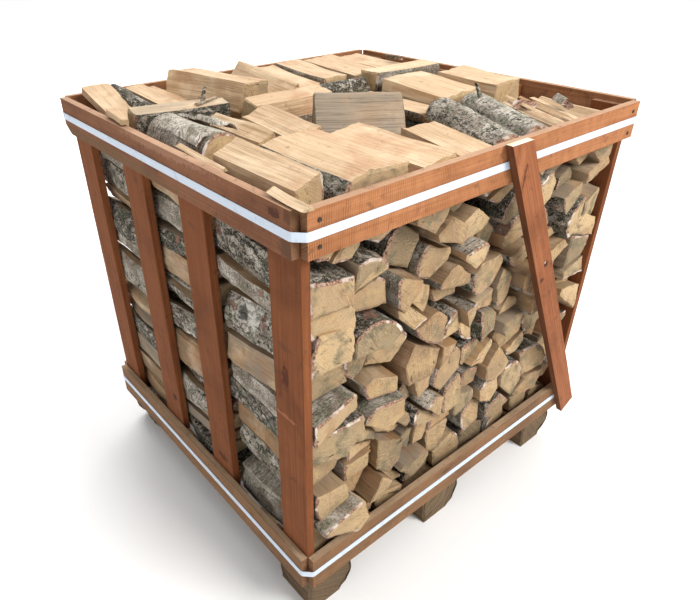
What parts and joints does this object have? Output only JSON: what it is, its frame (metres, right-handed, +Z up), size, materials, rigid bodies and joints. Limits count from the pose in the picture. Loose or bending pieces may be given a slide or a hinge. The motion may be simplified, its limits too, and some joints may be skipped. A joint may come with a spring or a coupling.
{
  "type": "crate of split birch firewood",
  "caption": "Slatted timber crate packed with split birch firewood, on a low base with feet, held by flat straps and a slanting brace.",
  "frame": {"origin": "on the ground under the middle of the crate's frame, on the underside of the centre foot", "axes": "+Z up; -Y faces the open front where the log ends show and the brace is nailed; the slatted walls face -X and +X"},
  "size_m": [1.0681, 0.9832, 1.09],
  "materials": {
    "birch_log": "rough split wood with sawn ends and white, grey and black bark",
    "ring_board": "rough sawn softwood, weathered red-brown",
    "slat": "rough sawn softwood, dark red-brown",
    "base_board": "rough sawn softwood, weathered grey-brown",
    "foot": "weathered half-round timber, grey-brown",
    "strap": "satin bluish white plastic strap"
  },
  "bodies": {
    "root": {"bearer_back": "base_board", "bearer_front": "base_board", "bearer_middle": "base_board", "brace_front": "slat", "deck_board_1": "base_board", "deck_board_2": "base_board", "deck_board_3": "base_board", "deck_board_4": "base_board", "foot_back_left": "foot", "foot_back_middle": "foot", "foot_back_right": "foot", "foot_centre": "foot", "foot_front_left": "foot", "foot_front_middle": "foot", "foot_front_right": "foot", "logs_back_row": "birch_log", "logs_front_row": "birch_log", "logs_middle_row": "birch_log", "low_board_back": "ring_board", "low_board_front": "ring_board", "low_board_left": "ring_board", "low_board_right": "ring_board", "slat_left_1": "slat", "slat_left_2": "slat", "slat_left_3": "slat", "slat_left_4": "slat", "slat_right_1": "slat", "slat_right_2": "slat", "slat_right_3": "slat", "slat_right_4": "slat", "strap_low": "strap", "strap_top": "strap", "top_board_back": "ring_board", "top_board_front": "ring_board", "top_board_left": "ring_board", "top_board_right": "ring_board", "top_log_back_flat_a": "birch_log", "top_log_back_flat_b": "birch_log", "top_log_back_flat_c": "birch_log", "top_log_back_flat_d": "birch_log", "top_log_bark_shoulder": "birch_log", "top_log_broad_flat": "birch_log", "top_log_cracked_end": "birch_log", "top_log_dark_bark": "birch_log", "top_log_grey_bark": "birch_log", "top_log_grey_wedge": "birch_log", "top_log_leaning_plank": "birch_log", "top_log_long_flat": "birch_log", "top_log_near_corner": "birch_log", "top_log_orange_flat": "birch_log", "top_log_pale_top": "birch_log", "top_log_peeled_bark": "birch_log", "top_log_pointed": "birch_log", "top_log_right_corner": "birch_log", "top_log_right_flat": "birch_log", "top_log_small_flat": "birch_log", "top_log_thick_chunk": "birch_log", "top_log_torn_block": "birch_log", "top_log_white_bark": "birch_log", "top_log_white_top": "birch_log"}
  },
  "joints": []
}
